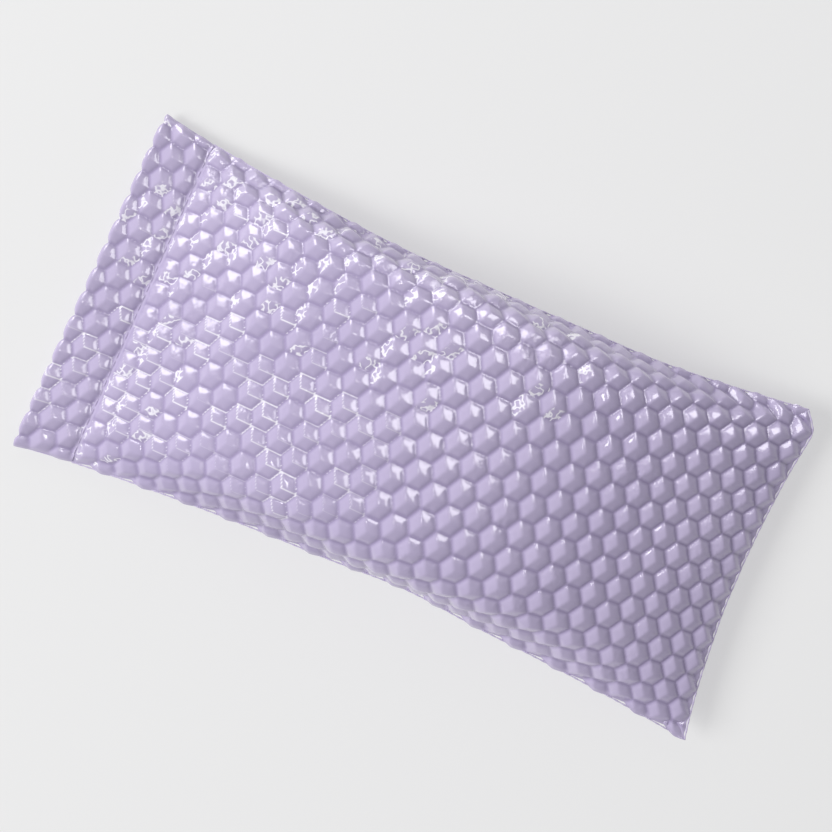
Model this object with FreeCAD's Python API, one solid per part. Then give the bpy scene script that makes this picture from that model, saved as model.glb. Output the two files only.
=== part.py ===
"""Eye pillow: a padded slip cover with a hemmed mouth, and a seed sachet that slides out of it.

Frame: millimetres, +Z up. X runs along the pillow towards its closed end, and Y across it.
The origin is the centre of the pillow's box, on the surface that it rests on.

Every soft layer is one of a family of nested domes. A dome rises from the seam level, which
runs round the pillow where front and back meet. The front domes bulge up and the back domes
bulge down. A layer's shell lies between an outer dome and an inner dome.
"""

import FreeCAD, Part
import math
import os

from FreeCAD import Vector

# Outline of the cover
LENGTH = 202.0              # corner to corner along X
MOUTH_WIDTH = 102.0         # across the open end
WAIST_WIDTH = 86.0          # where the sides pull in most
CLOSED_WIDTH = 97.5         # across the sewn end
WAIST_X = 8.0               # where the waist is
WAIST_POWER = 2.15          # how sharply the sides flare out to the corners
END_HOLLOW = 2.2            # how far the sewn end pulls in between its corners

# Heights of the filled pillow
HEIGHT = 34.0               # top of the crown
CROWN_DROP = 5.0            # how much lower the crown is towards both ends
SEAM_AT_MOUTH = 3.2         # seam level at the open end, which lies on the table
SEAM_AT_WAIST = 14.0        # seam level at the waist
SEAM_AT_END = 8.5           # seam level at the sewn end
REST_DIP = 0.6              # how far the back bulges past the flat that it rests on
RISE_FROM_HEM = 34.0        # length over which the body rises behind the hem
FALL_TO_END = 40.0          # length over which it falls to the sewn end
CROWN_POWER = 2.2           # section across the front: 2 is an ellipse, more is squarer
BELLY_POWER = 3.2           # section across the back, flattened by its own weight

# Hem round the mouth
HEM_DEPTH = 17.0            # from the folded edge to the hem stitching
HEM_THICKNESS = 2.4         # folded film, two layers
HEM_FOLD_GAP = 0.3          # space between the two layers of a hem
BODY_GAP = 0.3              # clearance between pieces that move apart

# Layers, each from its outer to its inner face
FILM = 1.2                  # embossed film
LAYER_GAP = 0.1             # air between layers that lie on each other
LINING = 0.6                # knitted lining
SEAM_HALF = 0.3             # half the gap between front and back rims, for the seam stitching
SEAM_THREAD = 0.12          # half the thickness of the stitched seam
SEAM_REACH = 2.6            # how far the stitched seam reaches in from the edge

# Sachet inside the cover
SACHET_INSET = 7.0          # from the cover's edge to the sachet's filled body, in plan
SACHET_SEAM_INSET = 4.2     # from the cover's edge to the sachet's sewn edge
SACHET_DEPTH = 2.8          # from the cover's crown to the sachet's crown
SACHET_CLOTH = 0.6          # muslin
BUD_LAYER = 1.4             # lavender buds lying on top of the seeds
BUD_RIM = 0.6               # thickness of that layer at its rim

# Stitches
STITCH_LENGTH = 2.3
STITCH_GAP = 0.9
STITCH_WIDTH = 0.5
STITCH_HEIGHT = 0.3
STITCH_INSET = 1.2          # from the hem's inner edge to its row of stitches
CLOSING_STITCHES = 9        # hand stitches that close the sachet after filling
CLOSING_PITCH = 4.0

# Stations of the dome surfaces
STATIONS_ALONG = 25
STATIONS_ACROSS = 21
DEGREE = 3                  # of the smooth surfaces

OPEN_END = -LENGTH / 2
SEWN_END = LENGTH / 2
HEM_LINE = OPEN_END + HEM_DEPTH
BODY_START = HEM_LINE + BODY_GAP


def reach_from_waist(x):
    """0 at the waist and 1 at either end."""
    if x < WAIST_X:
        return (WAIST_X - x) / (WAIST_X - OPEN_END)
    return (x - WAIST_X) / (SEWN_END - WAIST_X)


def half_width(x):
    corner_width = MOUTH_WIDTH if x < WAIST_X else CLOSED_WIDTH
    flare = reach_from_waist(x) ** WAIST_POWER
    return (WAIST_WIDTH + (corner_width - WAIST_WIDTH) * flare) / 2


def seam_level(x):
    end_level = SEAM_AT_MOUTH if x < WAIST_X else SEAM_AT_END
    return SEAM_AT_WAIST + (end_level - SEAM_AT_WAIST) * reach_from_waist(x) ** 2


def crown_rise(x):
    """How far the outer front dome stands above the seam level, away from the ends."""
    top = HEIGHT - CROWN_DROP * reach_from_waist(x) ** 2
    return top - seam_level(x)


def belly_drop(x):
    """How far the outer back dome hangs below the seam level, away from the ends."""
    return seam_level(x) + REST_DIP


def quarter_round(distance, reach):
    """Rises as a quarter ellipse from 0 to 1 over the reach, then stays at 1."""
    part_way = min(max(distance / reach, 0.0), 1.0)
    return math.sqrt(1 - (1 - part_way) ** 2)


def control_stations(count):
    """Where a smooth surface's control rows sit, 0 to 1: even, and closer together at both ends."""
    spans = count - DEGREE
    knots = [0] * DEGREE + list(range(spans + 1)) + [spans] * DEGREE
    return [sum(knots[i + 1:i + DEGREE + 1]) / (DEGREE * spans) for i in range(count)]


def even_knots(count):
    """Evenly spaced knots of a clamped surface, and how often each one counts."""
    spans = count - DEGREE
    repeats = [DEGREE + 1] + [1] * (spans - 1) + [DEGREE + 1]
    return list(range(spans + 1)), repeats


def dome_point(along, across, inset, depth, side):
    """A point of a dome. along is 0 to 1 and across is -1 to 1.

    inset is how far the dome's rim lies inside the cover's edge, and depth is how far its
    crown lies inside the cover's. side is +1 for the front and -1 for the back.
    """
    start = BODY_START + inset
    end = SEWN_END - inset - END_HOLLOW * (1 - across ** 2)
    x = start + (end - start) * along
    y = across * (half_width(x) - inset)
    full = crown_rise(x) if side > 0 else belly_drop(x)
    power = CROWN_POWER if side > 0 else BELLY_POWER
    lengthwise = quarter_round(x - start, RISE_FROM_HEM) * quarter_round(end - x, FALL_TO_END)
    crosswise = math.sqrt(max(1 - abs(across) ** power, 0.0))
    bulge = (full - depth - SEAM_HALF) * lengthwise * crosswise
    return Vector(x, y, seam_level(x) + side * (SEAM_HALF + bulge))


def dome(inset, depth, side):
    """A dome as one smooth surface, whose control points are points of the dome."""
    rows = []
    for along in control_stations(STATIONS_ALONG):
        row = []
        for station in control_stations(STATIONS_ACROSS):
            row.append(dome_point(along, 2 * station - 1, inset, depth, side))
        rows.append(row)
    knots_along, repeats_along = even_knots(STATIONS_ALONG)
    knots_across, repeats_across = even_knots(STATIONS_ACROSS)
    surface = Part.BSplineSurface()
    surface.buildFromPolesMultsKnots(
        rows, repeats_along, repeats_across, knots_along, knots_across, False, False, DEGREE, DEGREE
    )
    return surface.toShape()


def rim_edges(face):
    """The four edges of a dome: start, end, right side and left side."""
    edges = list(face.Edges)
    start = min(edges, key=lambda edge: edge.CenterOfMass.x)
    end = max(edges, key=lambda edge: edge.CenterOfMass.x)
    right = min(edges, key=lambda edge: edge.CenterOfMass.y)
    left = max(edges, key=lambda edge: edge.CenterOfMass.y)
    return start, end, right, left


def closed_solid(faces):
    """The solid that a closed set of faces encloses."""
    shell = Part.makeShell(faces)
    shell.sewShape()
    solid = Part.makeSolid(Part.Shell(shell.Faces))
    if solid.Volume < 0:
        solid.reverse()
    return solid


def smooth_edge(points):
    """A smooth edge through a list of points."""
    curve = Part.BSplineCurve()
    curve.interpolate(points)
    return curve.toShape()


def flat_strip(edge, other):
    """The flat face between two straight edges that run side by side."""
    ends = sorted((vertex.Point for vertex in edge.Vertexes), key=lambda point: point.y)
    far_ends = sorted((vertex.Point for vertex in other.Vertexes), key=lambda point: point.y)
    joins = [Part.makeLine(end, far_end) for end, far_end in zip(ends, far_ends)]
    return Part.Face(Part.Wire([edge, joins[1], other, joins[0]]))


def rim_strips(edges, others):
    """The faces between two rims, each given as start, end, right and left edges."""
    strips = [flat_strip(edges[0], others[0])]
    for edge, other in zip(edges[1:], others[1:]):
        strips.append(Part.makeRuledSurface(edge, other))
    return strips


def solid_between(first, second):
    """The closed solid between two domes, with strips from rim to rim."""
    return closed_solid([first, second] + rim_strips(rim_edges(first), rim_edges(second)))


def layer(inset, depth, thickness, side):
    """One soft layer, whose outer dome has the given inset and depth."""
    return solid_between(
        dome(inset, depth, side),
        dome(inset + thickness, depth + thickness, side),
    )


def above_rest(solid):
    """The solid without what bulges past the flat that the pillow rests on."""
    room = Part.makeBox(2 * LENGTH, 2 * MOUTH_WIDTH, 2 * HEIGHT)
    room.translate(Vector(-LENGTH, -MOUTH_WIDTH, 0))
    return solid.common(room)


def seam_strip(path, inward):
    """A thin stitched strip along a rim, from its outer line to a line further in.

    path holds the outer line's (x, y) places, and inward is the unit step towards the filling.
    """
    corners = []
    for shift, level in ((0, -1), (0, 1), (1, 1), (1, -1)):
        points = []
        for x, y in path:
            place = Vector(x, y, 0) + inward * (SEAM_REACH * shift)
            place.z = seam_level(place.x) + level * SEAM_THREAD
            points.append(place)
        corners.append(smooth_edge(points))
    faces = []
    for i in range(4):
        faces.append(Part.makeRuledSurface(corners[i], corners[(i + 1) % 4]))
    for end in (0, -1):
        loop = [corner.Vertexes[end].Point for corner in corners]
        faces.append(Part.Face(Part.makePolygon(loop + loop[:1])))
    return closed_solid(faces)


def side_seam(side):
    """Stitching along one long edge of the cover. side is +1 on the left and -1 on the right."""
    path = []
    start = BODY_START + SEAM_REACH
    end = SEWN_END - SEAM_REACH - END_HOLLOW
    for i in range(STATIONS_ALONG):
        x = start + (end - start) * i / (STATIONS_ALONG - 1)
        path.append((x, side * half_width(x)))
    return seam_strip(path, Vector(0, -side, 0))


def end_seam():
    """Stitching across the sewn end of the cover."""
    path = []
    reach = half_width(SEWN_END) - SEAM_REACH - 1
    for i in range(STATIONS_ACROSS):
        across = 2 * i / (STATIONS_ACROSS - 1) - 1
        path.append((SEWN_END - END_HOLLOW * (1 - across ** 2), across * reach))
    return seam_strip(path, Vector(-1, 0, 0))


def hem(side):
    """A folded hem: two layers of film joined by a round fold at the mouth.

    side is +1 for the front hem, which lies above the mouth, and -1 for the back hem.
    """
    outer_radius = HEM_THICKNESS / 2
    inner_radius = HEM_FOLD_GAP / 2
    middle = SEAM_AT_MOUTH + side * (SEAM_HALF + outer_radius)
    centre_x = OPEN_END + outer_radius

    def fold_face(radius):
        low = Vector(centre_x, 0, middle - radius)
        high = Vector(centre_x, 0, middle + radius)
        far_low = Vector(HEM_LINE, 0, middle - radius)
        far_high = Vector(HEM_LINE, 0, middle + radius)
        bend = Part.Arc(low, Vector(centre_x - radius, 0, middle), high).toShape()
        wire = Part.Wire([
            bend,
            Part.makeLine(high, far_high),
            Part.makeLine(far_high, far_low),
            Part.makeLine(far_low, low),
        ])
        return Part.Face(wire)

    section = fold_face(outer_radius).cut(fold_face(inner_radius))
    block = section.extrude(Vector(0, MOUTH_WIDTH, 0))
    block.translate(Vector(0, -MOUTH_WIDTH / 2, 0))
    return block.common(hem_plan())


def hem_plan():
    """The hem's outline in plan, as a tall block: a little narrower at the hem line."""
    near = MOUTH_WIDTH / 2
    far = half_width(HEM_LINE)
    outline = Part.makePolygon([
        Vector(OPEN_END, -near, 0),
        Vector(HEM_LINE, -far, 0),
        Vector(HEM_LINE, far, 0),
        Vector(OPEN_END, near, 0),
        Vector(OPEN_END, -near, 0),
    ])
    return Part.Face(outline).extrude(Vector(0, 0, HEIGHT))


def stitch_row(centre, count, pitch):
    """A straight row of short stitches across the pillow, as separate solids in one node."""
    stitches = []
    for i in range(count):
        middle = centre + Vector(0, (i - (count - 1) / 2) * pitch, 0)
        stitch = Part.makeBox(STITCH_WIDTH, STITCH_LENGTH, STITCH_HEIGHT)
        stitch.translate(middle - Vector(STITCH_WIDTH / 2, STITCH_LENGTH / 2, 0))
        stitches.append(stitch)
    return Part.makeCompound(stitches)


def hem_stitching(side):
    """The visible row of stitches that holds a hem."""
    middle = SEAM_AT_MOUTH + side * (SEAM_HALF + HEM_THICKNESS + LAYER_GAP + STITCH_HEIGHT / 2)
    pitch = STITCH_LENGTH + STITCH_GAP
    count = int(2 * half_width(HEM_LINE) / pitch)
    centre = Vector(HEM_LINE - STITCH_INSET, 0, middle - STITCH_HEIGHT / 2)
    return stitch_row(centre, count, pitch)


def rim_line(inset, lift):
    """The four edges of a rim, raised by lift: start, end, right side and left side."""
    edges = []
    for fixed_end in (0, 1):
        edges.append(smooth_edge([rim_place(fixed_end, 2 * t - 1, inset, lift) for t in rim_steps()]))
    for fixed_side in (-1, 1):
        edges.append(smooth_edge([rim_place(t, fixed_side, inset, lift) for t in rim_steps()]))
    return edges


def rim_steps():
    return [i / (STATIONS_ALONG - 1) for i in range(STATIONS_ALONG)]


def rim_place(along, across, inset, lift):
    place = dome_point(along, across, inset, 0, 1)
    place.z = seam_level(place.x) + lift
    return place


def sewn_edge(outer_inset, inner_inset, half_thickness):
    """A flat sewn edge all round, at the seam level, between two insets."""
    top_outer = rim_line(outer_inset, half_thickness)
    top_inner = rim_line(inner_inset, half_thickness)
    low_outer = rim_line(outer_inset, -half_thickness)
    low_inner = rim_line(inner_inset, -half_thickness)
    faces = []
    for first, second in (
        (top_outer, top_inner),
        (low_outer, low_inner),
        (top_outer, low_outer),
        (top_inner, low_inner),
    ):
        faces += rim_strips(first, second)
    return closed_solid(faces)


def lavender_layer(depth):
    """Lavender buds, lighter than the seeds, lying on top of them."""
    inset = SACHET_INSET + SACHET_CLOTH + LAYER_GAP
    return solid_between(dome(inset, depth, 1), dome(inset + BUD_RIM, depth + BUD_LAYER, 1))


def seed_filling(depth):
    """The seeds: one closed lens inside the sachet, under the buds."""
    inset = SACHET_INSET + SACHET_CLOTH + BUD_RIM + 2 * LAYER_GAP
    return solid_between(dome(inset, depth + BUD_LAYER + LAYER_GAP, 1), dome(inset, depth, -1))


def export(node, shape):
    os.makedirs("parts", exist_ok=True)
    shape.exportStep("parts/" + node + ".step")
    print("%-28s valid %s, %.0f cubic mm" % (node, shape.isValid(), shape.Volume))


def build_cover():
    lining_start = FILM + LAYER_GAP
    export("cover_front_panel", layer(0, 0, FILM, 1))
    export("cover_back_panel", above_rest(layer(0, 0, FILM, -1)))
    export("front_lining", layer(lining_start, lining_start, LINING, 1))
    export("back_lining", layer(lining_start, lining_start, LINING, -1))
    export("left_side_seam", side_seam(1))
    export("right_side_seam", side_seam(-1))
    export("end_seam", end_seam())
    export("back_hem", hem(-1))
    export("back_hem_stitching", hem_stitching(-1))


def build_front_lip():
    export("front_hem", hem(1))
    export("front_hem_stitching", hem_stitching(1))


def build_insert():
    filling_depth = SACHET_DEPTH + SACHET_CLOTH + LAYER_GAP
    export("sachet_front_panel", layer(SACHET_INSET, SACHET_DEPTH, SACHET_CLOTH, 1))
    export("sachet_back_panel", layer(SACHET_INSET, SACHET_DEPTH, SACHET_CLOTH, -1))
    export("sachet_sewn_edge", sewn_edge(SACHET_SEAM_INSET, SACHET_INSET - LAYER_GAP, SEAM_HALF))
    export("flax_seed_filling", seed_filling(filling_depth))
    export("lavender_buds", lavender_layer(filling_depth))
    edge_x = BODY_START + (SACHET_SEAM_INSET + SACHET_INSET) / 2
    centre = Vector(edge_x, 0, seam_level(edge_x) + SEAM_HALF + LAYER_GAP)
    export("sachet_closing_stitches", stitch_row(centre, CLOSING_STITCHES, CLOSING_PITCH))


build_cover()
build_front_lip()
build_insert()
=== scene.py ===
"""Looks of the eye pillow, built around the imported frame. Metres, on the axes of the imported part.

The cover's body is inflated by a cloth simulation from its flat cut, fitted to the frame's outline,
and embossed with the film's relief. The hems, seams, linings and the sachet follow from it.
"""

import math

import bpy
import numpy as np
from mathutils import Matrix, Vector


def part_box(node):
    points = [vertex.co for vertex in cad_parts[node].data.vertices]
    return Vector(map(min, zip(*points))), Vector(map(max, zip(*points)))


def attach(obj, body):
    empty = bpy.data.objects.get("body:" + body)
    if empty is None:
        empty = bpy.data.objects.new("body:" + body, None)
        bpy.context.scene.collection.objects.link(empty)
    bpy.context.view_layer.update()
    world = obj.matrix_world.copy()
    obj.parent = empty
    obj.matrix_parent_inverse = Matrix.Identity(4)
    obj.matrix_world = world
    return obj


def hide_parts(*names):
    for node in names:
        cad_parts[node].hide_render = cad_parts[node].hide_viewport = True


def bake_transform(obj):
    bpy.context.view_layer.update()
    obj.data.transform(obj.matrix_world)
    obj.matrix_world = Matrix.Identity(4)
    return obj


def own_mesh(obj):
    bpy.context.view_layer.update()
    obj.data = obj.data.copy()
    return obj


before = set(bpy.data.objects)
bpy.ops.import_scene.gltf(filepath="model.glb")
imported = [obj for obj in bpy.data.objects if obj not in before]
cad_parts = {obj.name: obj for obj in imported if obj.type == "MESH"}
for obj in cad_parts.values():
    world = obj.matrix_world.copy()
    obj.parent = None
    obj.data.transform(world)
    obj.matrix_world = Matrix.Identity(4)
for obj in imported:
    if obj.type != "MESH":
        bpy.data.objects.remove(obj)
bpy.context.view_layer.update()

MM = 0.001

# ---------------------------------------------------------------- places, read from the frame
front_hem_low, front_hem_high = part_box("front_hem")
_, back_hem_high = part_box("back_hem")
_, panel_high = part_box("cover_front_panel")
sachet_low, sachet_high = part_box("sachet_front_panel")
sachet_edge_low, sachet_edge_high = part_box("sachet_sewn_edge")

OPEN_END = front_hem_low.x
HEM_LINE = front_hem_high.x
SEWN_END = panel_high.x
MOUTH_HALF = front_hem_high.y
HEM_DEPTH = HEM_LINE - OPEN_END
BODY_LENGTH = SEWN_END - HEM_LINE
TOP = panel_high.z
MOUTH_LEVEL = (front_hem_low.z + back_hem_high.z) / 2

# ---------------------------------------------------------------- driving sizes
FLAT_LENGTH = 192 * MM          # cut length of a body panel, hem line to sewn end
FLAT_WIDTH = 102 * MM           # cut width of a panel, seam to seam
CELLS_LONG = 72                 # cloth cells of the simulation
CELLS_WIDE = 40
CALM_PASSES = 90                # smoothing passes over the inflated grid
PROFILE_PASSES = 150            # and over its section, as a share of the crown

PITCH = 7.4 * MM                # between neighbouring raised cells
COLUMN = PITCH * math.cos(math.radians(30))
RELIEF_SLOPE = 0.30             # slope of a facet
GROOVE_DEPTH = 0.75 * MM        # of the groove round each cell
GROOVE_REACH = 0.75 * MM        # how far the groove's shoulder reaches into the cell
GROOVE_SOFT = 0.22 * MM         # roundness of the groove's bottom
GROOVE_SHARE = 0.33             # mean of the groove's shape, so that it moves the film by nothing
CREASE = 0.16 * MM              # softness of the relief's creases
GLINT_LINE = 0.26 * MM          # half width of the painted highlight line along a sharp fold
RELIEF_MEAN = -RELIEF_SLOPE * PITCH / math.sqrt(3) / 2   # about the mean height of the facets
SEAM_FADE = 1.6 * MM            # the relief fades in over this far from a seam
HEM_LINE_FADE = 0.9 * MM        # and over this far on both sides of the hem line
EDGE_SWELL = 0.8                # how much of the relief shows in the outline of the seams
CRINKLE = 0.040 * MM            # depth of the film's fine creases
RELIEF_SHIFT = (-3.4 * MM, 0.5 * MM)   # a raised cell's centre, from the middle of the hem line
FINE_LONG = 14                  # mesh steps per column of cells
FINE_WIDE = 16                  # mesh steps per pitch across

END_HOLLOW = 1.9 * MM           # how far the sewn end lies inside the frame's end, at its hollow
END_CURVE = 3.2 * MM            # how much the end's corners stand out past the hollow
END_LEAN = 0.1                  # where the hollow lies, as a share of the half width
END_ROUNDING = 5.0 * MM         # the left corner of the end is rolled under

HEM_THICK = 2.2 * MM            # a folded hem
HEM_PINCH = 0.25                # how much its stitching pinches it
MOUTH_GAP = 0.25 * MM           # from the mouth's level to each hem
HEM_LINE_LIFT = 0.9 * MM        # how much higher the hem line lies than the mouth
MOUTH_SLANT = 1.3 * MM          # how much further out the mouth's right corner lies
FLOOR_CLEAR = 0.25 * MM         # no film lies lower than this above the table
CROWN_RELIEF = 0.4 * MM         # room for the front's relief, below the frame's top
BELLY_RELIEF = 0.7 * MM         # room for the back's relief, above the table
FLOOR_SOFT = 2.2 * MM           # roundness of the belly where it leaves the table

LINING_START_DEPTH = 0.5 * MM   # from the film to the lining's outer face, at the hem line
LINING_DEPTH = 1.9 * MM         # how much deeper it lies past the hem line
LINING_THICK = 0.5 * MM
LINING_START = 0.002            # where it starts and ends, as shares of the panel
LINING_END = 0.955
LINING_SIDE = 0.04              # how far it stays from each side seam, as a share

SACHET_DEPTH_FRONT = 3.4 * MM   # from the cover's crown down to the sachet's
SACHET_DEPTH_BACK = 2.6 * MM    # from the cover's belly up to the sachet's


# ---------------------------------------------------------------- small helpers
def smooth(low, high, value):
    """0 below low and 1 above high, with a smooth turn between."""
    share = np.clip((value - low) / (high - low), 0, 1)
    return share * share * (3 - 2 * share)


def new_object(name, points, faces, shade_smooth=True):
    mesh = bpy.data.meshes.new(name)
    mesh.from_pydata(np.asarray(points, float).reshape(-1, 3).tolist(), [], faces)
    mesh.update()
    if shade_smooth:
        mesh.shade_smooth()
    piece = bpy.data.objects.new(name, mesh)
    bpy.context.scene.collection.objects.link(piece)
    return piece


def grid_faces(rows, columns, flip=False, wrap=False, first=0):
    """Quads of a grid of points, row by row. wrap joins the last row to the first."""
    i, j = np.meshgrid(np.arange(rows if wrap else rows - 1), np.arange(columns - 1), indexing="ij")
    below = (i + 1) % rows
    quads = np.stack([
        i * columns + j,
        below * columns + j,
        below * columns + j + 1,
        i * columns + j + 1,
    ], -1).reshape(-1, 4) + first
    if flip:
        quads = quads[:, ::-1]
    return quads.tolist()


def grid_normals(points):
    """Unit normals of a grid of points (rows, columns, 3), to the left of rows cross columns."""
    along = np.gradient(points, axis=0)
    across = np.gradient(points, axis=1)
    normals = np.cross(along, across)
    return normals / np.maximum(np.linalg.norm(normals, axis=-1, keepdims=True), 1e-12)


def spline_row(points, places):
    """Points of a uniform cubic B-spline over the first axis, at places from 0 to the last index.
    The ends are extended in line, so the spline starts and ends on its first and last points."""
    before = 2 * points[:1] - points[1:2]
    after = 2 * points[-1:] - points[-2:-1]
    control = np.concatenate([before, points, after])
    index = np.clip(np.floor(places).astype(int), 0, len(points) - 2)
    t = (places - index).reshape((-1,) + (1,) * (points.ndim - 1))
    weights = (
        (1 - t) ** 3 / 6,
        (3 * t ** 3 - 6 * t ** 2 + 4) / 6,
        (-3 * t ** 3 + 3 * t ** 2 + 3 * t + 1) / 6,
        t ** 3 / 6,
    )
    return sum(weight * control[index + k] for k, weight in enumerate(weights))


def resample(grid, rows, columns):
    """A grid of points, smoothly resampled to the given shares (0 to 1) along both axes."""
    grid = spline_row(grid, rows * (grid.shape[0] - 1))
    grid = spline_row(np.swapaxes(grid, 0, 1), columns * (grid.shape[1] - 1))
    return np.swapaxes(grid, 0, 1)


def tube(path, radius, sides=8):
    """A closed tube round a path of points. radius is one number or one per point."""
    path = np.asarray(path, float)
    ahead = np.gradient(path, axis=0)
    ahead /= np.linalg.norm(ahead, axis=1, keepdims=True)
    upright = np.array([0, 0, 1.0])
    side = np.cross(ahead, upright)
    side /= np.maximum(np.linalg.norm(side, axis=1, keepdims=True), 1e-9)
    other = np.cross(side, ahead)
    turn = np.linspace(0, 2 * math.pi, sides, endpoint=False)
    radii = np.broadcast_to(radius, len(path)).reshape(-1, 1, 1)
    ring = side[:, None] * np.cos(turn)[None, :, None] + other[:, None] * np.sin(turn)[None, :, None]
    points = path[:, None] + ring * radii
    faces = []
    for i in range(len(path) - 1):
        for k in range(sides):
            a, b = i * sides + k, i * sides + (k + 1) % sides
            faces.append((a, b, b + sides, a + sides))
    faces.append(tuple(range(sides))[::-1])
    faces.append(tuple(range((len(path) - 1) * sides, len(path) * sides)))
    return points.reshape(-1, 3), faces


def joined(name, parts):
    """One object from several (points, faces) parts."""
    points, faces, first = [], [], 0
    for part_points, part_faces in parts:
        points.append(np.asarray(part_points).reshape(-1, 3))
        faces += [tuple(v + first for v in face) for face in part_faces]
        first += len(points[-1])
    return new_object(name, np.concatenate(points), faces)


# ---------------------------------------------------------------- the film's relief
def relief(u, v):
    """Height of the embossed relief about its mean, at flat places u, v from the middle of the
    hem line, and three marks from 0 to 1 that paint light into the colour: how deep in a groove,
    for painted shade; a painted highlight line on a sharp fold round the facet that faces
    60 degrees; and painted highlight squiggles in a facet where the film crumples.

    Raised cells sit on a triangular grid. Each is the corner of a cube: three facets that fall
    away towards 60, 180 and 300 degrees. A soft groove runs round every cell, so each puffs up.
    """
    fall = [(math.cos(math.radians(a)), math.sin(math.radians(a))) for a in (60, 180, 300)]
    column = np.round((u - RELIEF_SHIFT[0]) / COLUMN)
    total = np.zeros_like(u)
    nearest = np.full(u.shape, np.inf)
    second = np.full(u.shape, np.inf)
    own = np.zeros((4, *u.shape))
    for step in (-1, 0, 1):
        m = column + step
        centre_u = RELIEF_SHIFT[0] + m * COLUMN
        offset = RELIEF_SHIFT[1] + np.mod(m, 2) * PITCH / 2
        row = np.round((v - offset) / PITCH)
        for row_step in (-1, 0, 1):
            du = u - centre_u
            dv = v - (offset + (row + row_step) * PITCH)
            steepest = sum(np.exp((a * du + b * dv) / CREASE) for a, b in fall)
            total += 1 / steepest
            away = du ** 2 + dv ** 2
            second = np.minimum(second, np.maximum(nearest, away))
            own = np.where(away < nearest, np.stack([du, dv, m, row + row_step]), own)
            nearest = np.minimum(nearest, away)
    border = (second - nearest) / (2 * PITCH)
    groove = np.exp(-np.sqrt(border ** 2 + GROOVE_SOFT ** 2) / GROOVE_REACH)
    height = RELIEF_SLOPE * CREASE * np.log(total) - GROOVE_DEPTH * (groove - GROOVE_SHARE)
    crease_glint, crumple_glint = painted_highlights(own, border, fall)
    return height - RELIEF_MEAN, np.stack([groove, crease_glint, crumple_glint])


def painted_highlights(own, border, fall):
    """Where highlights are painted into the film's colour: thin lines along sharp folds, and
    squiggles in facets where the film crumples. own holds each point's place in its cell and the
    cell's column and row; border is its distance from the cell's edge."""
    repeat = 80
    luck = np.random.default_rng(5).random((3, repeat, repeat))
    du, dv, m, row = own
    luck = luck[:, np.mod(m, repeat).astype(int), np.mod(row, repeat).astype(int)]
    steep = np.stack([a * du + b * dv for a, b in fall])
    ordered = np.sort(steep, axis=0)
    ridge = (ordered[2] - ordered[1]) / math.sqrt(3)
    at_60 = steep[0] > ordered[1] - 0.2 * MM
    at_180 = steep[1] >= ordered[2]
    at_300 = steep[2] >= ordered[2]
    along = (m * COLUMN + RELIEF_SHIFT[0]) / FLAT_LENGTH
    across = (row * PITCH) / (FLAT_WIDTH / 2)
    # cells with a painted highlight line along their folds: most on the right, fading out past the middle
    # and towards both sides
    fading = smooth(0.62, 0.30, along) * smooth(1.0, 0.75, np.abs(across))
    line_glint_cells = fading * (luck[0] < 0.30 + 0.50 * smooth(0.2, -0.3, across)) * (0.4 + 0.6 * luck[1])
    line = np.exp(-(np.minimum(ridge, border) / GLINT_LINE) ** 2)
    # cells with painted highlight squiggles in one facet: on the left, fading out past the middle, and in
    # a strip beside the hem line
    upper = smooth(0.75, 0.35, along) * smooth(0.05, 0.35, across)
    beside_hem = smooth(0.14, 0.04, along)
    squiggle_glint_cells = luck[2] < 0.60 * upper + 0.60 * beside_hem * (along > 0)
    facet = np.where(luck[1] < 0.6, at_300, at_180)
    return line * at_60 * line_glint_cells, squiggle_glint_cells * facet * smooth(0.1 * MM, 0.5 * MM, ridge)


def embossed(points, normals, u, v, amount):
    """Points moved along their normals by the relief, and the relief's marks at each one."""
    height, marks = relief(u, v)
    return points + normals * (height * amount)[..., None], marks * amount


def film_piece(name, points, faces, marks):
    """A piece of the film. Each point keeps the relief's marks, for the painted shade and painted
    highlights in its colour.
    """
    piece = new_object(name, points, faces)
    for mark, values in zip(("groove", "crease_glint", "crumple_glint"), marks):
        layer = piece.data.attributes.new(mark, "FLOAT", "POINT")
        layer.data.foreach_set("value", np.asarray(values, np.float32).ravel())
    return piece


def crinkle(u, v):
    """Fine creases of the film: strong beside the hem line, and here and there over the panel."""
    patch_count = 34
    beside_hem, start = 9 * MM, 1 * MM
    random = np.random.default_rng(21)
    patches = np.zeros_like(u)
    for _ in range(patch_count):
        at_u = random.uniform(0.05, 0.62) * FLAT_LENGTH
        at_v = random.normal(14, 17) * MM
        size = random.uniform(1.5, 4) * MM
        patches = np.maximum(patches, np.exp(-((u - at_u) ** 2 + (v - at_v) ** 2) / size ** 2))
    seam = np.exp(-(u / beside_hem) ** 2) * (0.5 + 0.5 * np.sin(v / (6 * MM) + 1))
    rough = random.normal(0, 1, u.shape)
    rough = rough + np.roll(rough, 1, 0) + np.roll(rough, 1, 1)
    return rough * CRINKLE * np.clip(patches + seam, 0, 1) * smooth(0, start, u)


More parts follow.
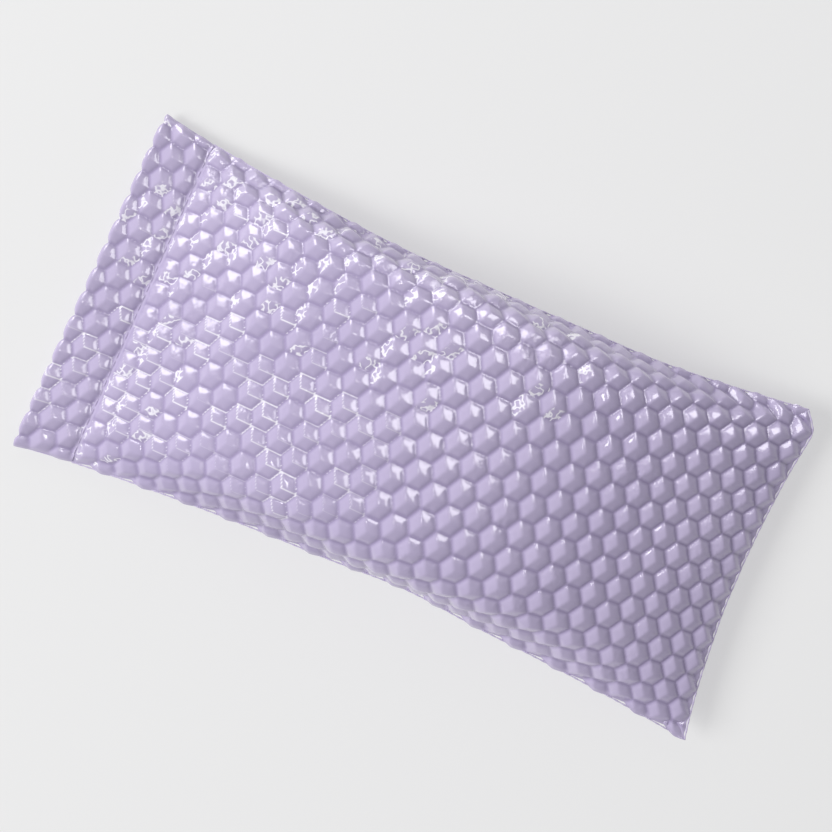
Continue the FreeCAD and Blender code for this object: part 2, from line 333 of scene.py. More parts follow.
# ---------------------------------------------------------------- the body, inflated
def inflate():
    """Front and back grids of the cover's body, blown up from the flat cut by cloth simulation.
    The hem line is held, and the other edges are sewn and free. Simulated ten times too large,
    where the cloth solver is steady."""
    enlarged = 10
    frames = 20
    random = np.random.default_rng(7)
    front = np.zeros((CELLS_LONG + 1, CELLS_WIDE + 1), int)
    back = np.zeros_like(front)
    places = []
    for i in range(CELLS_LONG + 1):
        for j in range(CELLS_WIDE + 1):
            x = FLAT_LENGTH * i / CELLS_LONG
            y = FLAT_WIDTH * (j / CELLS_WIDE - 0.5)
            on_edge = i in (0, CELLS_LONG) or j in (0, CELLS_WIDE)
            dome = min(1, 3 * math.sin(math.pi * i / CELLS_LONG) * math.sin(math.pi * j / CELLS_WIDE))
            rise = 0 if on_edge else 2 * MM * dome + random.normal(0, 0.04 * MM)
            front[i, j] = back[i, j] = len(places)
            places.append((x, y, rise))
            if not on_edge:
                back[i, j] = len(places)
                places.append((x, y, -rise))
    faces = []
    for i in range(CELLS_LONG):
        for j in range(CELLS_WIDE):
            faces.append((front[i, j], front[i + 1, j], front[i + 1, j + 1], front[i, j + 1]))
            faces.append((back[i, j], back[i, j + 1], back[i + 1, j + 1], back[i + 1, j]))
    bag = new_object("inflating", np.array(places) * enlarged, [tuple(map(int, f)) for f in faces])
    held = bag.vertex_groups.new(name="held")
    held.add([int(k) for k in front[0]], 1.0, "REPLACE")
    cloth = bag.modifiers.new("cloth", "CLOTH")
    settings = cloth.settings
    settings.quality = 6
    settings.mass = 0.3
    settings.air_damping = 4
    settings.tension_stiffness = settings.compression_stiffness = 60
    settings.shear_stiffness = 30
    settings.bending_stiffness = 3
    settings.tension_damping = settings.compression_damping = 15
    settings.shear_damping = 10
    settings.bending_damping = 1
    settings.use_pressure = True
    settings.uniform_pressure_force = 1.5
    settings.effector_weights.gravity = 0
    settings.vertex_group_mass = "held"
    cloth.collision_settings.use_collision = False
    cloth.point_cache.frame_start = 1
    cloth.point_cache.frame_end = frames
    for number in range(1, frames + 1):
        bpy.context.scene.frame_set(number)
    blown = bag.evaluated_get(bpy.context.evaluated_depsgraph_get())
    co = np.array([v.co for v in blown.data.vertices]) / enlarged
    bpy.context.scene.frame_set(1)
    bpy.data.objects.remove(bag)
    return co[front], co[back]


def long_edge():
    """(x, half width, seam level) along the cover's long edge: smooth curves through the lowest
    points of the CAD front panel's rim."""
    stretches = 24
    rim_depth = 0.5 * MM
    degree = 4
    points = np.array([v.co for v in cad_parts["cover_front_panel"].data.vertices])
    marks = np.linspace(points[:, 0].min(), points[:, 0].max(), stretches + 1)
    rim = []
    for low, high in zip(marks, marks[1:]):
        inside = points[(points[:, 0] >= low) & (points[:, 0] <= high)]
        if len(inside):
            widest = inside[inside[:, 1] > inside[:, 1].max() - rim_depth]
            rim.append(widest[widest[:, 2].argmin()])
    x, y, z = np.array(rim).T
    places = np.linspace(x[0], x[-1], 60)
    width = np.polyval(np.polyfit(x, y, degree), places)
    level = np.polyval(np.polyfit(x, z, degree), places)
    return places, width, level


EDGE_X, EDGE_Y, EDGE_Z = long_edge()


def half_width(x):
    return np.interp(x, EDGE_X, EDGE_Y)


def seam_level(x):
    """The CAD's seam level, eased down to the hem line at the mouth's end."""
    reach = 34 * MM
    drop = np.interp(HEM_LINE, EDGE_X, EDGE_Z) - MOUTH_LEVEL - HEM_LINE_LIFT
    return np.interp(x, EDGE_X, EDGE_Z) - drop * (1 - smooth(0, reach, x - HEM_LINE))


def side_round(share):
    """1 across the width, falling to 0 at both side seams. share is -1 to 1."""
    squareness = 12
    return np.sqrt(np.clip(1 - np.abs(share) ** squareness, 0, 1))


def calmed(grid, passes):
    """The grid with its puckers and cross folds eased along the length."""
    for _ in range(passes):
        middle = grid[1:-1]
        grid = np.concatenate([grid[:1], (grid[:-2] + 2 * middle + grid[2:]) / 4, grid[-1:]])
    return grid


def evened(grid):
    """The grid with a smooth crown from the hem line to the sewn end, without cross folds."""
    grid = calmed(grid, CALM_PASSES)
    crown = np.abs(grid[..., 2]).max(1)
    share = np.linspace(0, 1, len(crown))[1:-1]
    arch = np.sqrt(share * (1 - share))
    smooth_crown = arch * np.polyval(np.polyfit(share, crown[1:-1] / arch, 3), share)
    profile = calmed(grid[1:-1, :, 2] / crown[1:-1, None], PROFILE_PASSES)
    grid[1:-1, :, 2] = profile * smooth_crown[:, None]
    return grid


def fitted(front, back):
    """The inflated grids placed in the frame: its outline, its seam level and its table."""
    end_reach = 60 * MM
    lip_reach = 22 * MM
    half_window = 3
    window = np.ones(2 * half_window + 1) / (2 * half_window + 1)
    stretch = BODY_LENGTH / ((front[-1, 0, 0] + front[-1, -1, 0]) / 2)
    front, back = evened(front), evened(back)
    raise_front = (TOP - EDGE_Z.max() - CROWN_RELIEF) / front[..., 2].max()
    reach = np.maximum(np.abs(front[..., 1]).max(1), np.abs(back[..., 1]).max(1))
    want = half_width(HEM_LINE + front[..., 0].mean(1) * stretch)
    factor = np.convolve(np.pad(want / reach, half_window, mode="edge"), window, mode="valid")
    placed = []
    for grid, side in ((front, 1), (back, -1)):
        x = HEM_LINE + grid[..., 0] * stretch
        y = grid[..., 1] * factor[:, None]
        share = np.linspace(-1, 1, grid.shape[1])[None]
        hollow = END_HOLLOW - END_CURVE * (share - END_LEAN) ** 2
        corner = END_ROUNDING * smooth(0.86, 1.0, share) ** 2
        x = x - (hollow + corner) * smooth(0, end_reach, x - (SEWN_END - end_reach))
        lip = (MOUTH_GAP + HEM_THICK * (1 - HEM_PINCH)) * side_round(share)
        lip = lip * (1 - smooth(0, lip_reach, x - HEM_LINE))
        z = seam_level(x) + grid[..., 2] * raise_front + side * lip
        if side < 0:
            clear = (z - FLOOR_CLEAR - BELLY_RELIEF) / FLOOR_SOFT
            z = FLOOR_CLEAR + BELLY_RELIEF + FLOOR_SOFT * np.logaddexp(0, clear * 2) / 2
        placed.append(np.stack([x, y, z], -1))
    seam = np.zeros(placed[0].shape[:2], bool)
    seam[-1] = seam[:, 0] = seam[:, -1] = True
    placed[1][seam] = placed[0][seam]
    return placed


FRONT_GRID, BACK_GRID = fitted(*inflate())


def body_panel(name, grid, side):
    """One embossed body panel, from the hem line to the sewn end."""
    steps_long = int(FLAT_LENGTH / COLUMN * FINE_LONG)
    steps_wide = int(FLAT_WIDTH / PITCH * FINE_WIDE)
    along = np.linspace(0, 1, steps_long + 1)
    across = np.linspace(0, 1, steps_wide + 1)
    points = resample(grid, along, across)
    normals = grid_normals(points) * side
    u, v = np.meshgrid(along * FLAT_LENGTH, (across - 0.5) * FLAT_WIDTH, indexing="ij")
    at_side = FLAT_WIDTH / 2 - np.abs(v)
    at_end = FLAT_LENGTH - u
    near_seam = np.minimum(at_side, at_end)
    amount = smooth(0, SEAM_FADE, near_seam) * smooth(0, HEM_LINE_FADE, u)
    edge_u = np.where(at_side < at_end, u, FLAT_LENGTH)
    edge_v = np.where(at_side < at_end, np.sign(v) * FLAT_WIDTH / 2, v)
    swell, _ = relief(edge_u, edge_v)
    swell_reach, swell_start = 2.5 * MM, 2 * MM
    swell = swell * EDGE_SWELL * np.exp(-near_seam / swell_reach) * smooth(0, swell_start, u)
    points, marks = embossed(points, normals, u, v, amount)
    points[..., 0] += np.where(at_side < at_end, 0, swell)
    points[..., 1] += np.where(at_side < at_end, np.sign(v) * swell, 0)
    points = points + normals * crinkle(u, v)[..., None]
    points[..., 2] = np.maximum(points[..., 2], FLOOR_CLEAR)
    return film_piece(name, points, grid_faces(*points.shape[:2], flip=side < 0), marks)


# ---------------------------------------------------------------- hems
def hem_level(x):
    return MOUTH_LEVEL + HEM_LINE_LIFT * smooth(0, HEM_DEPTH, x - OPEN_END)


def hem_half_width(x):
    share = (x - OPEN_END) / HEM_DEPTH
    return MOUTH_HALF + (half_width(HEM_LINE) - MOUTH_HALF) * share


def hem_path():
    """The hem's section, from the hem line over the outside, round the fold and back inside:
    x, height above the mouth's level, flat distance past the hem line, and relief amount."""
    radius = HEM_THICK / 2
    fold_x = OPEN_END + radius
    outer = np.linspace(HEM_LINE, fold_x, int((HEM_LINE - fold_x) / COLUMN * FINE_LONG) + 1)
    turn = np.linspace(0, math.pi, 12)[1:-1]
    inner = np.linspace(fold_x, HEM_LINE, 9)
    pinch = 1 - HEM_PINCH * np.exp(-((HEM_LINE - outer) / (1.6 * MM)) ** 2)
    x = np.concatenate([outer, fold_x - radius * np.sin(turn), inner])
    rise = np.concatenate([
        MOUTH_GAP + HEM_THICK * pinch,
        MOUTH_GAP + radius + radius * np.cos(turn),
        np.full(len(inner), MOUTH_GAP),
    ])
    flat = np.concatenate([
        HEM_LINE - outer,
        HEM_LINE - fold_x + radius * turn,
        HEM_LINE - fold_x + radius * math.pi + (inner - fold_x),
    ])
    past_fold = flat - (HEM_LINE - fold_x)
    amount = (1 - smooth(2.0 * radius, 3.1 * radius, past_fold)) * smooth(0, HEM_LINE_FADE, flat)
    return x, rise, flat, amount


def hem_piece(name, side, low_share, high_share):
    """A folded hem between two shares (-1 to 1) of the pillow's width."""
    x, rise, flat, amount = hem_path()
    count = int(FLAT_WIDTH / PITCH * FINE_WIDE) + 1
    share = np.linspace(-1, 1, count)
    share = share[(share >= low_share - 1e-6) & (share <= high_share + 1e-6)]
    x_grid, share_grid = np.meshgrid(x, share, indexing="ij")
    height = rise[:, None] * side_round(share_grid)
    slant = MOUTH_SLANT * (share_grid + 1) / 2 * (HEM_LINE - x_grid) / HEM_DEPTH
    points = np.stack([
        x_grid + slant,
        share_grid * hem_half_width(x_grid),
        hem_level(x_grid) + side * height,
    ], -1)
    normals = -grid_normals(points) * side
    u = np.broadcast_to(-flat[:, None], x_grid.shape)
    v = share_grid * FLAT_WIDTH / 2
    side_reach, side_relief = 2.5 * MM, 0.35
    inside = smooth(0, side_reach, FLAT_WIDTH / 2 * (1 - np.abs(share_grid)))
    amount = amount[:, None] * (side_relief + (1 - side_relief) * inside)
    points, marks = embossed(points, normals, u, v, amount)
    points[..., 2] = np.maximum(points[..., 2], FLOOR_CLEAR)
    return film_piece(name, points, grid_faces(*points.shape[:2], flip=side > 0), marks)


def hem_stitches(name, side, low_share, high_share):
    """The visible row of stitches beside the hem line, each a short raised loop of thread."""
    pitch, length, radius = 2.9 * MM, 2.3 * MM, 0.16 * MM
    beside_line = 0.25 * MM
    steps = 7
    x = HEM_LINE - beside_line
    parts = []
    count = int(2 * half_width(HEM_LINE) / pitch) - 1
    for k in range(count):
        centre = (k - (count - 1) / 2) * pitch
        share = centre / half_width(HEM_LINE)
        if not low_share <= share < high_share:
            continue
        y = np.linspace(centre - length / 2, centre + length / 2, steps)
        arch = np.sqrt(np.clip(1 - (2 * (y - centre) / length) ** 2, 0, 1))
        rise = MOUTH_GAP + HEM_THICK * (1 - HEM_PINCH) + (arch * 0.2 - 0.15) * MM
        z = hem_level(x) + side * rise * side_round(y / half_width(HEM_LINE))
        path = np.stack([np.full(steps, x), y, z], -1)
        parts.append(tube(path, radius * (0.6 + 0.4 * arch)))
    return joined(name, parts)


# ---------------------------------------------------------------- seams and linings
def seam_welt(name, path):
    """The sewn edge where front and back film meet, with the thread's slight ripple."""
    thread, ripple, stitch = 0.2 * MM, 0.05 * MM, 2.6 * MM
    count = 6 * len(path)
    fine = spline_row(path, np.linspace(0, len(path) - 1, count))
    length = np.concatenate([[0], np.cumsum(np.linalg.norm(np.diff(fine, axis=0), axis=1))])
    points, faces = tube(fine, thread + ripple * np.cos(2 * math.pi * length / stitch))
    return new_object(name, points, faces)


def lining(name, grid, side):
    """The knitted lining behind one panel, as a thin closed sheet."""
    along = np.linspace(LINING_START, LINING_END, 150)
    across = np.linspace(LINING_SIDE, 1 - LINING_SIDE, 80)
    points = resample(grid, along, across)
    normals = grid_normals(points) * side
    sinking = 0.05
    depth = LINING_DEPTH * smooth(0, sinking, along)[:, None] + LINING_START_DEPTH
    outer = points - normals * depth[..., None]
    inner = outer - normals * LINING_THICK
    rows, columns = outer.shape[:2]
    count = rows * columns
    faces = grid_faces(rows, columns, flip=side < 0)
    faces += grid_faces(rows, columns, flip=side > 0, first=count)
    rim = [i * columns for i in range(rows)] + [(rows - 1) * columns + j for j in range(1, columns)]
    rim += [i * columns + columns - 1 for i in range(rows - 2, -1, -1)]
    rim += [j for j in range(columns - 2, 0, -1)]
    for a, b in zip(rim, rim[1:] + rim[:1]):
        face = (a, b, b + count, a + count)
        faces.append(face if side < 0 else face[::-1])
    return new_object(name, np.concatenate([outer.reshape(-1, 3), inner.reshape(-1, 3)]), faces)


# ---------------------------------------------------------------- sachet
def sachet_grid(grid, depth):
    """The cover's grid shrunk to the sachet: its plan from the frame, its crown by depth."""
    x_share = (grid[..., 0] - HEM_LINE) / BODY_LENGTH
    x = sachet_low.x + x_share * (sachet_high.x - sachet_low.x)
    narrow = (sachet_high.y - sachet_low.y) / 2 / half_width(HEM_LINE)
    y = grid[..., 1] * narrow
    level = seam_level(grid[..., 0])
    rise = grid[..., 2] - level
    peak = np.abs(rise).max()
    z = seam_level(x) + rise * (peak - depth) / peak
    return np.stack([x, y, z], -1)


def wrinkle(x, y, seed, size):
    """Soft crossing folds, as a sum of slanting waves."""
    random = np.random.default_rng(seed)
    total = np.zeros_like(x)
    for _ in range(14):
        angle = random.uniform(0, math.pi)
        wave = 2 * math.pi / (size * random.uniform(0.6, 1.8))
        phase = random.uniform(0, 2 * math.pi)
        total += np.sin((x * math.cos(angle) + y * math.sin(angle)) * wave + phase)
    return total / 14


def sachet_panel(name, grid, side, seed):
    """One muslin panel, with soft folds all over and small gathers along its sewn edge."""
    long_mm, half_mm = 170, 41
    along, across = np.linspace(0, 1, 220), np.linspace(0, 1, 120)
    points = resample(grid, along, across)
    normals = grid_normals(points) * side
    share_u, share_v = np.meshgrid(along, across * 2 - 1, indexing="ij")
    from_edge = np.minimum.reduce([
        share_u * long_mm,
        (1 - share_u) * long_mm,
        (1 - np.abs(share_v)) * half_mm,
    ])
    folds = wrinkle(points[..., 0], points[..., 1], seed, 30 * MM) * 0.5 * MM
    gathers = np.sin(share_u * long_mm * 1.3 + 2 * np.sin(share_u * 31))
    gathers = gathers * np.exp(-((from_edge - 4) / 4) ** 2)
    move = (folds + gathers * 0.22 * MM) * smooth(0, 4, from_edge)
    points = points + normals * move[..., None]
    return new_object(name, points, grid_faces(*points.shape[:2], flip=side < 0))


def loop_of(grid):
    """The points round a grid's edge, in order, without repeats."""
    return np.concatenate([grid[:-1, 0], grid[-1, :-1], grid[:0:-1, -1], grid[0, :0:-1]])


def sachet_flange(name, grid):
    """The flat sewn edge round the sachet, with a line of stitches pressed into it."""
    inner = loop_of(grid)
    middle = inner.mean(0)
    outward = inner - middle
    outward[:, 2] = 0
    reach = sachet_edge_high.x - sachet_high.x
    grow_x = 1 + 2 * reach / (sachet_high.x - sachet_low.x)
    grow_y = 1 + 2 * reach / (2 * np.abs(outward[:, 1]).max())
    half = 0.28 * MM
    # share of the way out and lift, over the top from the panel to the edge and back underneath
    section = (
        (-0.15, 1), (0.35, 1), (0.5, 0.5), (0.65, 1),
        (1, 0.8), (1, -0.8), (0.5, -1), (-0.15, -1),
    )
    rings = []
    for share, lift in section:
        ring = middle + (inner - middle) * [1 + (grow_x - 1) * share, 1 + (grow_y - 1) * share, 1]
        ring[:, 2] = inner[:, 2] + lift * half
        rings.append(ring)
    rings = np.array(rings).transpose(1, 0, 2)
    closed = np.concatenate([rings, rings[:, :1]], 1)
    return new_object(name, closed, grid_faces(*closed.shape[:2], wrap=True))


def closing_stitches(name):
    """Hand stitches over the sachet's edge, where it was closed after filling."""
    low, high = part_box("sachet_closing_stitches")
    x = (sachet_low.x + sachet_edge_low.x) / 2
    count, steps = 9, 9
    parts = []
    for k in range(count):
        centre = low.y + (high.y - low.y) * (k + 0.5) / count
        turn = np.linspace(-0.15 * math.pi, 1.15 * math.pi, steps)
        path = np.stack([
            x + 1.1 * MM * np.cos(turn),
            centre + 0.5 * MM * np.linspace(-1, 1, steps),
            seam_level(x) + 0.55 * MM * np.sin(turn) + 0.1 * MM,
        ], -1)
        parts.append(tube(path, 0.2 * MM, 6))
    return joined(name, parts)


def seed_filling(name, front, back):
    """The flax seeds: one heap whose skin shows the seeds as small bumps."""
    rows, columns = 200, 110
    rim = 0.03
    parts = []
    for grid, side in ((front, 1), (back, -1)):
        points = resample(grid, np.linspace(rim, 1 - rim, rows), np.linspace(rim, 1 - rim, columns))
        normals = grid_normals(points) * side
        bumps = np.random.default_rng(5).random((rows, columns)) * 0.5 * MM
        points = points - normals * (1.0 * MM + bumps)[..., None]
        parts.append((points, grid_faces(rows, columns, flip=side < 0)))
    return joined(name, parts)


def lavender_buds(name, front):
    """Dried lavender buds strewn over the seeds, each a small ribbed pod."""
    random = np.random.default_rng(11)
    count, rings, sides = 420, 5, 6
    half_length, girth, depth = 2.0 * MM, 0.55 * MM, 1.6 * MM
    upright = np.array([0, 0, 1.0])
    parts = []
    for _ in range(count):
        place = resample(front, random.uniform(0.08, 0.92, 1), random.uniform(0.08, 0.92, 1))[0, 0]
        heading = random.uniform(0, 2 * math.pi)
        forward = np.array([math.cos(heading), math.sin(heading), 0])
        sideways = np.array([-math.sin(heading), math.cos(heading), 0])
        along = np.linspace(-1, 1, rings)
        turn = np.linspace(0, 2 * math.pi, sides, endpoint=False)
        radii = girth * np.sqrt(1.05 - along ** 2) * (1 + 0.15 * along)
        ribs = 1 + 0.12 * np.cos(3 * turn)
        outward = np.cos(turn)[:, None] * sideways + np.sin(turn)[:, None] * upright
        spine = place - depth * upright + half_length * along[:, None, None] * forward
        points = spine + radii[:, None, None] * (ribs[:, None] * outward)[None]
        closed = np.concatenate([points, points[:, :1]], 1)
        parts.append((closed, grid_faces(rings, sides + 1)))
    return joined(name, parts)


# ---------------------------------------------------------------- materials
def shader(name):
    material = bpy.data.materials.new(name)
    material.use_nodes = True
    nodes = material.node_tree.nodes
    return material, nodes, material.node_tree.links, nodes["Principled BSDF"]


def noise(nodes, links, where, scale, detail=3.0, roughness=0.5):
    texture = nodes.new("ShaderNodeTexNoise")
    texture.inputs["Scale"].default_value = scale
    texture.inputs["Detail"].default_value = detail
    texture.inputs["Roughness"].default_value = roughness
    links.new(where, texture.inputs["Vector"])
    return texture.outputs["Fac"]


def object_place(nodes):
    return nodes.new("ShaderNodeTexCoord").outputs["Object"]


def ramp(nodes, links, value, stops):
    """A colour ramp through (position, colour) stops."""
    node = nodes.new("ShaderNodeValToRGB")
    elements = node.color_ramp.elements
    while len(elements) < len(stops):
        elements.new(0.5)
    for element, (position, colour) in zip(elements, stops):
        element.position = position
        element.color = (*colour, 1)
    links.new(value, node.inputs["Fac"])
    return node.outputs["Color"]


def bump(nodes, links, height, strength, distance, under=None):
    node = nodes.new("ShaderNodeBump")
    node.inputs["Strength"].default_value = strength
    node.inputs["Distance"].default_value = distance
    links.new(height, node.inputs["Height"])
    if under is not None:
        links.new(under, node.inputs["Normal"])
    return node.outputs["Normal"]


def math_node(nodes, links, operation, a, b):
    node = nodes.new("ShaderNodeMath")
    node.operation = operation
    for socket, value in zip(node.inputs, (a, b)):
        if isinstance(value, (int, float)):
            socket.default_value = value
        else:
            links.new(value, socket)
    return node.outputs[0]


def mark(nodes, links, name, low, high, most):
    """One of the relief's marks, stretched from low..high to 0..most."""
    read = nodes.new("ShaderNodeAttribute")
    read.attribute_name = name
    stretch = nodes.new("ShaderNodeMapRange")
    stretch.inputs["From Min"].default_value = low
    stretch.inputs["From Max"].default_value = high
    stretch.inputs["To Max"].default_value = most
    links.new(read.outputs["Fac"], stretch.inputs["Value"])
    return stretch.outputs["Result"]


def mixed(nodes, links, share, colour, other):
    """The colour, with the fixed colour other laid over it by share."""
    mix = nodes.new("ShaderNodeMix")
    mix.data_type = "RGBA"
    links.new(share, mix.inputs[0])
    links.new(colour, mix.inputs[6])
    mix.inputs[7].default_value = (*other, 1)
    return mix.outputs[2]


def film_material():
    """Glossy lilac film: a clear coat over soft colour, with painted shade darkening the relief's grooves
    and painted highlights whitening lines on its sharp folds and squiggles in some facets, with faint
    crinkles in places."""
    material, nodes, links, shade = shader("lilac_film")
    where = object_place(nodes)
    drift = noise(nodes, links, where, 22, 2)
    colour = ramp(nodes, links, drift, [
        (0.30, (0.455, 0.395, 0.575)),
        (0.70, (0.510, 0.445, 0.630)),
    ])
    # painted shade: the colour darkens and deepens towards the bottom of each groove
    groove = mark(nodes, links, "groove", 0.28, 0.85, 0.75)
    colour = mixed(nodes, links, groove, colour, (0.270, 0.215, 0.390))
    # painted highlights: thin white squiggles in some facets, where a fine noise crosses its middle value
    squiggle = noise(nodes, links, where, 430, 1, 0.5)
    fold = math_node(nodes, links, "SUBTRACT", squiggle, 0.5)
    fold = math_node(nodes, links, "ABSOLUTE", fold, 0)
    thin = nodes.new("ShaderNodeMapRange")
    thin.inputs["From Min"].default_value = 0.075
    thin.inputs["From Max"].default_value = 0.02
    links.new(fold, thin.inputs["Value"])
    crumple_glint = mark(nodes, links, "crumple_glint", 0.2, 0.9, 0.9)
    squiggle_highlight = math_node(nodes, links, "MULTIPLY", crumple_glint, thin.outputs["Result"])
    crease_glint = mark(nodes, links, "crease_glint", 0.30, 0.85, 0.9)
    # painted highlights: the squiggles and the lines along sharp folds, mixed in as near white
    painted_highlight_share = math_node(nodes, links, "MAXIMUM", squiggle_highlight, crease_glint)
    colour = mixed(nodes, links, painted_highlight_share, colour, (0.93, 0.91, 0.96))
    links.new(colour, shade.inputs["Base Color"])
    haze = noise(nodes, links, where, 900, 2)
    rough = nodes.new("ShaderNodeMapRange")
    rough.inputs["To Min"].default_value = 0.30
    rough.inputs["To Max"].default_value = 0.42
    links.new(haze, rough.inputs["Value"])
    links.new(rough.outputs["Result"], shade.inputs["Roughness"])
    shade.inputs["Coat Weight"].default_value = 1.0
    shade.inputs["Coat Roughness"].default_value = 0.05
    shade.inputs["Coat IOR"].default_value = 1.5
    shade.inputs["Specular IOR Level"].default_value = 0.4
    peel = noise(nodes, links, where, 1500, 2)
    fine_folds = noise(nodes, links, where, 650, 4, 0.6)
    patches = ramp(nodes, links, noise(nodes, links, where, 38, 1), [
        (0.52, (0.05, 0.05, 0.05)),
        (0.66, (1, 1, 1)),
    ])
    crinkled = math_node(nodes, links, "MULTIPLY", fine_folds, patches)
    under = bump(nodes, links, crinkled, 0.55, 0.0004)
    links.new(bump(nodes, links, peel, 0.08, 0.0001, under), shade.inputs["Normal"])
    links.new(under, shade.inputs["Coat Normal"])
    return material


def cloth_material(name, dark, light, threads, strength):
    """Plain woven or knitted cloth: crossing threads, uneven colour and a little fuzz."""
    material, nodes, links, shade = shader(name)
    where = object_place(nodes)
    heights = []
    for direction in ("X", "Y"):
        wave = nodes.new("ShaderNodeTexWave")
        wave.bands_direction = direction
        wave.inputs["Scale"].default_value = threads
        wave.inputs["Distortion"].default_value = 1.2
        wave.inputs["Detail"].default_value = 1.5
        wave.inputs["Detail Scale"].default_value = 3
        links.new(where, wave.inputs["Vector"])
        heights.append(wave.outputs["Fac"])
    weave = math_node(nodes, links, "MULTIPLY", *heights)
    patchy = noise(nodes, links, where, 60, 4)
    half_weave = math_node(nodes, links, "MULTIPLY", weave, 0.5)
    tone = math_node(nodes, links, "ADD", half_weave, patchy)
    links.new(ramp(nodes, links, tone, [(0.30, dark), (0.85, light)]), shade.inputs["Base Color"])
    shade.inputs["Roughness"].default_value = 0.85
    shade.inputs["Sheen Weight"].default_value = 0.35
    links.new(bump(nodes, links, weave, strength, 0.0003), shade.inputs["Normal"])
    return material


def thread_material():
    """Sewing thread: two lilac tones wound round each other."""
    material, nodes, links, shade = shader("lilac_thread")
    where = object_place(nodes)
    twist = nodes.new("ShaderNodeTexWave")
    twist.bands_direction = "DIAGONAL"
    twist.inputs["Scale"].default_value = 900
    links.new(where, twist.inputs["Vector"])
    colour = ramp(nodes, links, twist.outputs["Fac"], [
        (0.2, (0.50, 0.44, 0.62)),
        (0.8, (0.60, 0.53, 0.71)),
    ])
    links.new(colour, shade.inputs["Base Color"])
    shade.inputs["Roughness"].default_value = 0.5
    shade.inputs["Sheen Weight"].default_value = 0.3
    links.new(bump(nodes, links, twist.outputs["Fac"], 0.5, 0.0001), shade.inputs["Normal"])
    return material


def grain_material(name, dark, light, scale, roughness):
    """Seeds or buds: speckled, each a little different."""
    material, nodes, links, shade = shader(name)
    where = object_place(nodes)
    cells = nodes.new("ShaderNodeTexVoronoi")
    cells.inputs["Scale"].default_value = scale
    links.new(where, cells.inputs["Vector"])
    tint = nodes.new("ShaderNodeSeparateColor")
    links.new(cells.outputs["Color"], tint.inputs["Color"])
    links.new(ramp(nodes, links, tint.outputs[0], [(0.1, dark), (0.9, light)]), shade.inputs["Base Color"])
    shade.inputs["Roughness"].default_value = roughness
    links.new(bump(nodes, links, cells.outputs["Distance"], 0.6, 0.0005), shade.inputs["Normal"])
    return material


FILM = film_material()
KNIT = cloth_material("knit_lining", (0.50, 0.46, 0.60), (0.66, 0.62, 0.74), 900, 0.5)
MUSLIN = cloth_material("muslin", (0.62, 0.55, 0.44), (0.82, 0.76, 0.65), 700, 0.7)
THREAD = thread_material()
SEEDS = grain_material("flax_seed", (0.10, 0.035, 0.012), (0.26, 0.11, 0.045), 450, 0.35)
BUDS = grain_material("lavender", (0.07, 0.055, 0.13), (0.20, 0.17, 0.30), 700, 0.8)


# ---------------------------------------------------------------- placing the pieces
def place(piece, material, slot, body, *nodes):
    piece.data.materials.append(material)
    if body:
        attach(piece, body)
    if nodes:
        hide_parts(*nodes)


def collapse(piece):
    """Gives the piece a mesh of its own."""
    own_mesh(piece)


def build_body():
    front = body_panel("cover_front", FRONT_GRID, 1)
    back = body_panel("cover_back", BACK_GRID, -1)
    place(front, FILM, "embossed_film", "cover", "cover_front_panel")
    place(back, FILM, "embossed_film", "cover", "cover_back_panel")
    front_lining = lining("front_lining_knit", FRONT_GRID, 1)
    back_lining = lining("back_lining_knit", BACK_GRID, -1)
    place(front_lining, KNIT, "knit_lining", "cover", "front_lining")
    place(back_lining, KNIT, "knit_lining", "cover", "back_lining")
    left = seam_welt("left_seam_welt", FRONT_GRID[:, -1])
    right = seam_welt("right_seam_welt", FRONT_GRID[:, 0])
    end = seam_welt("end_seam_welt", FRONT_GRID[-1])
    place(left, THREAD, "sewing_thread", "cover", "left_side_seam")
    place(right, THREAD, "sewing_thread", "cover", "right_side_seam")
    place(end, THREAD, "sewing_thread", "cover", "end_seam")
    for piece in (front, back, front_lining, back_lining, left, right, end):
        collapse(piece)


def build_hems():
    place(hem_piece("back_hem_fold", -1, -1, 1), FILM, "embossed_film", "cover", "back_hem")
    row = hem_stitches("back_hem_thread", -1, -1, 1)
    place(row, THREAD, "sewing_thread", "cover", "back_hem_stitching")
    for name, low, high, outward in (("right", -1, 0, -1), ("left", 0, 1, 1)):
        fold = hem_piece("front_hem_fold_" + name, 1, low, high)
        row = hem_stitches("front_hem_thread_" + name, 1, low, high)
        place(fold, FILM, "embossed_film", None, "front_hem")
        place(row, THREAD, "sewing_thread", None, "front_hem_stitching")
        for piece in (fold, row):
            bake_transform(piece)


def build_sachet():
    front = sachet_grid(FRONT_GRID, SACHET_DEPTH_FRONT)
    back = sachet_grid(BACK_GRID, SACHET_DEPTH_BACK)
    edge = np.zeros(front.shape[:2], bool)
    edge[0] = edge[-1] = edge[:, 0] = edge[:, -1] = True
    front[edge] = back[edge] = (front[edge] + back[edge]) / 2
    front_panel = sachet_panel("sachet_front", front, 1, 3)
    back_panel = sachet_panel("sachet_back", back, -1, 4)
    place(front_panel, MUSLIN, "muslin", "insert", "sachet_front_panel")
    place(back_panel, MUSLIN, "muslin", "insert", "sachet_back_panel")
    place(sachet_flange("sachet_edge", front), MUSLIN, "muslin", "insert", "sachet_sewn_edge")
    closing = closing_stitches("sachet_closing_thread")
    place(closing, THREAD, "sewing_thread", "insert", "sachet_closing_stitches")
    place(seed_filling("flax_seeds", front, back), SEEDS, "flax_seed", "insert", "flax_seed_filling")
    place(lavender_buds("lavender_bud_heap", front), BUDS, "lavender", "insert", "lavender_buds")


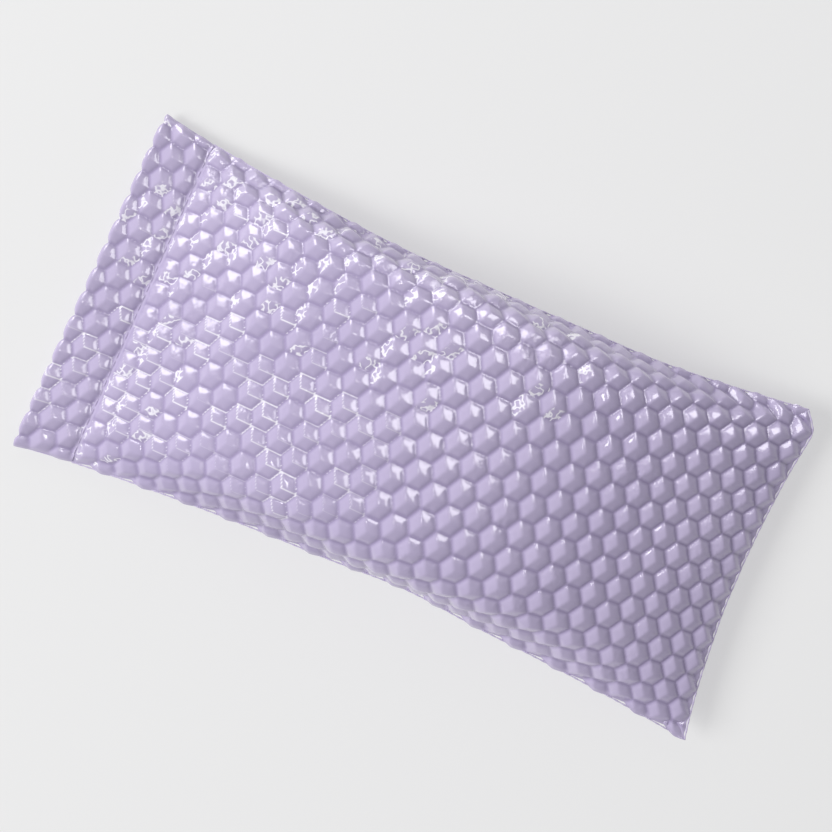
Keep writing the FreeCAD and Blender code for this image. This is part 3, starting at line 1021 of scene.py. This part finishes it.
# ---------------------------------------------------------------- table, light and camera
def build_stage():
    """The table: a pale matt square with a little light of its own, which keeps shadows weak."""
    size = 3.0
    corners = [(-size, -size, 0), (size, -size, 0), (size, size, 0), (-size, size, 0)]
    table = new_object("table", corners, [(0, 1, 2, 3)], shade_smooth=False)
    material, _, _, shade = shader("pale_table")
    shade.inputs["Base Color"].default_value = (0.44, 0.44, 0.435, 1)
    shade.inputs["Emission Color"].default_value = (1, 1, 1, 1)
    shade.inputs["Emission Strength"].default_value = 0.38
    shade.inputs["Roughness"].default_value = 0.9
    shade.inputs["Specular IOR Level"].default_value = 0.1
    table.data.materials.append(material)


def softbox(name, azimuth, tilt, distance, size, radiance, shadow=True, gloss=True, cloth=True):
    """A lamp aimed at the pillow. azimuth and tilt (from straight up) are in degrees, and size is
    its width and its length, which runs up towards the zenith. Without shadow it only fills,
    without gloss it isn't mirrored, and without cloth it shows only as a mirrored glint."""
    data = bpy.data.lights.new(name, "AREA")
    data.shape = "RECTANGLE"
    data.size, data.size_y = size
    data.energy = radiance * math.pi * size[0] * size[1]
    lamp = bpy.data.objects.new(name, data)
    around, down = math.radians(azimuth), math.radians(tilt)
    lamp.location = distance * Vector((
        math.sin(down) * math.cos(around),
        math.sin(down) * math.sin(around),
        math.cos(down),
    ))
    lamp.rotation_euler = (down, 0, around + math.pi / 2)
    data.use_shadow = shadow
    lamp.visible_glossy = gloss
    lamp.visible_diffuse = cloth
    bpy.context.scene.collection.objects.link(lamp)


def build_light():
    world = bpy.data.worlds.new("studio")
    bpy.context.scene.world = world
    world.use_nodes = True
    sky = world.node_tree.nodes["Background"]
    sky.inputs["Color"].default_value = (0.95, 0.95, 1.0, 1)
    sky.inputs["Strength"].default_value = 0.39
    softbox("key", 208, 48, 2.0, (1.0, 1.0), 8.6, gloss=False)
    softbox("window", 135, 60, 2.0, (1.1, 1.1), 4.4, shadow=False, gloss=False)
    softbox("window_glint", 134, 66, 1.2, (0.50, 0.60), 7.5, cloth=False)
    softbox("back_glint", 68, 41, 0.42, (0.18, 0.18), 7, cloth=False)
    softbox("strip_glint", 122, 19, 1.0, (0.05, 0.28), 18, cloth=False)
    bpy.context.scene.view_settings.view_transform = "Standard"


def build_camera():
    """Straight above, turned as in the picture, with the pillow a little below the middle."""
    turn = math.radians(24.2)
    distance = 0.512
    aim_height = 0.004
    frame_width = 0.2325
    across, down = 0.0004, 0.0030
    data = bpy.data.cameras.new("camera")
    data.sensor_width = 36
    data.lens = 36 * distance / frame_width
    camera = bpy.data.objects.new("camera", data)
    right = Vector((math.cos(turn), math.sin(turn), 0))
    up = Vector((-math.sin(turn), math.cos(turn), 0))
    camera.location = -right * across + up * down + Vector((0, 0, distance + aim_height))
    camera.rotation_euler = (0, 0, turn)
    bpy.context.scene.collection.objects.link(camera)
    bpy.context.scene.camera = camera


build_camera()
build_body()
build_hems()
build_sachet()
build_stage()
build_light()
